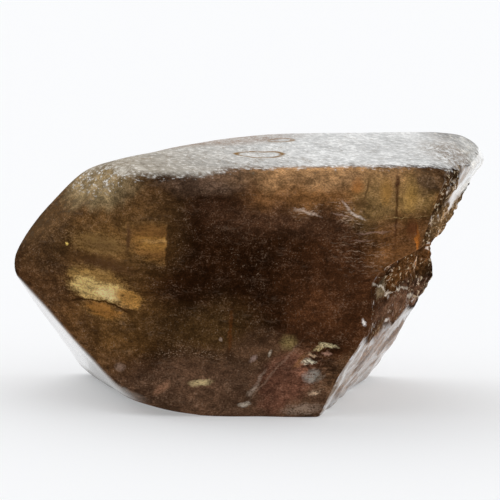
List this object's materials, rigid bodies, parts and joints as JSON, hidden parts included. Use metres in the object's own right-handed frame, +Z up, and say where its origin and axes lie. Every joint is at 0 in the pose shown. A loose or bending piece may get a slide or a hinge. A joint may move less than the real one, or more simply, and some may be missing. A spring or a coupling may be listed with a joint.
{
  "type": "rough zircon crystal",
  "caption": "Natural zircon crystal: a square prism with a pyramid at one end and a rough break at the other, worn and frosted, brown and see-through.",
  "frame": {"origin": "under the middle of the stone's box, on the face that it lies on", "axes": "+X along the crystal from its tip to its break, +Y from its front to its rear, +Z up"},
  "size_m": [0.013, 0.006, 0.0064],
  "materials": {
    "zircon": "dark brown see-through crystal with a frosted, worn skin"
  },
  "bodies": {
    "root": {"crystal": "zircon"}
  },
  "joints": []
}
